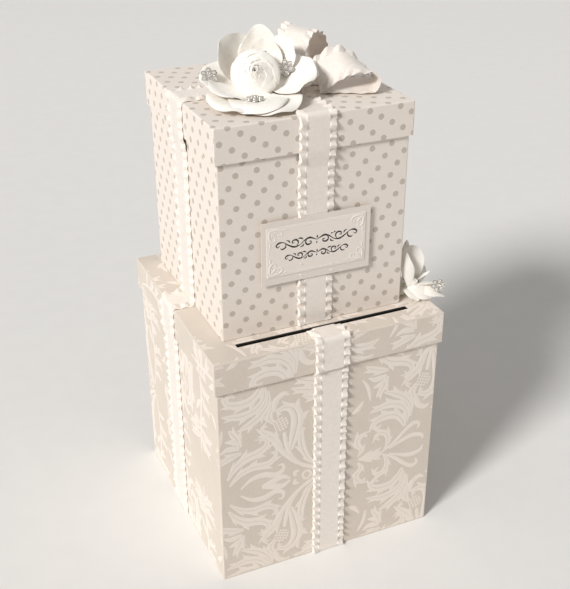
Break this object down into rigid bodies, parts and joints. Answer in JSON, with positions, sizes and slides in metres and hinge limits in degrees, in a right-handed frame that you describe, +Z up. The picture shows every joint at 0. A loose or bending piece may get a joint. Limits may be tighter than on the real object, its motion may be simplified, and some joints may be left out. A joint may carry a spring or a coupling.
{
  "type": "wedding card box",
  "caption": "Two-tier square wedding card box with a card slot in the lower lid, paper coverings, ruffled ribbon, name tag, silk flowers and jewelled trim.",
  "frame": {"origin": "middle of the lower box's underside", "axes": "+Z up, +X along the front to the right, -Y out of the front with the slot and tag"},
  "size_m": [0.2791, 0.2588, 0.5523],
  "materials": {
    "damask_paper": "cream damask print, tone on tone, soft embossed sheen",
    "dotted_paper": "off-white paper with taupe polka dots",
    "chipboard": "grey rigid-box board",
    "gummed_tape": "kraft corner tape",
    "ribbon": "white grosgrain ribbon with ruffled edges",
    "petal_silk": "white silk petals, matt",
    "calyx_plastic": "moulded stem and glue",
    "jewel_metal": "polished silver cups",
    "jewel_stone": "clear rhinestones",
    "foam": "foam mounting pad",
    "glue": "set glue",
    "tag_card": "smooth white card, embossed corners"
  },
  "bodies": {
    "box": {"base_back_board": "chipboard", "base_back_ribbon": "ribbon", "base_bottom_paper": "damask_paper", "base_corner_tapes": "gummed_tape", "base_floor_board": "chipboard", "base_front_board": "chipboard", "base_front_ribbon": "ribbon", "base_left_board": "chipboard", "base_left_ribbon": "ribbon", "base_right_board": "chipboard", "base_right_ribbon": "ribbon", "base_wrap_paper": "damask_paper"},
    "lid": {"bow_back_loop": "ribbon", "bow_side_loop": "ribbon", "rose_bud": "petal_silk", "rose_calyx": "calyx_plastic", "rose_inner_petals": "petal_silk", "rose_jewel_settings": "jewel_metal", "rose_jewel_stones": "jewel_stone", "rose_middle_petals": "petal_silk", "rose_outer_petals": "petal_silk", "rose_under_petals": "petal_silk", "side_flower_bud": "petal_silk", "side_flower_calyx": "calyx_plastic", "side_flower_inner_petals": "petal_silk", "side_flower_outer_petals": "petal_silk", "side_jewel_setting": "jewel_metal", "side_jewel_stones": "jewel_stone", "slot_lid_back_ribbon": "ribbon", "slot_lid_back_rim": "chipboard", "slot_lid_front_ribbon": "ribbon", "slot_lid_front_rim": "chipboard", "slot_lid_left_ribbon": "ribbon", "slot_lid_left_rim": "chipboard", "slot_lid_right_ribbon": "ribbon", "slot_lid_right_rim": "chipboard", "slot_lid_top_board": "chipboard", "slot_lid_wrap_paper": "damask_paper", "tag_backing_card": "tag_card", "tag_card": "tag_card", "tag_corner_ornaments": "tag_card", "tag_foam_pads": "foam", "tier_glue_dots": "glue", "upper_back_board": "chipboard", "upper_bottom_paper": "dotted_paper", "upper_corner_tapes": "gummed_tape", "upper_floor_board": "chipboard", "upper_front_board": "chipboard", "upper_front_to_back_ribbon": "ribbon", "upper_left_board": "chipboard", "upper_lid_back_rim": "chipboard", "upper_lid_front_rim": "chipboard", "upper_lid_left_rim": "chipboard", "upper_lid_right_rim": "chipboard", "upper_lid_top_board": "chipboard", "upper_lid_wrap_paper": "dotted_paper", "upper_right_board": "chipboard", "upper_side_to_side_ribbon": "ribbon", "upper_wrap_paper": "dotted_paper"}
  },
  "joints": [
    {"name": "lid_lift", "type": "slide", "parent": "box", "child": "lid", "axis": [0, 0, 1], "range_m": [0, 0.15]}
  ]
}
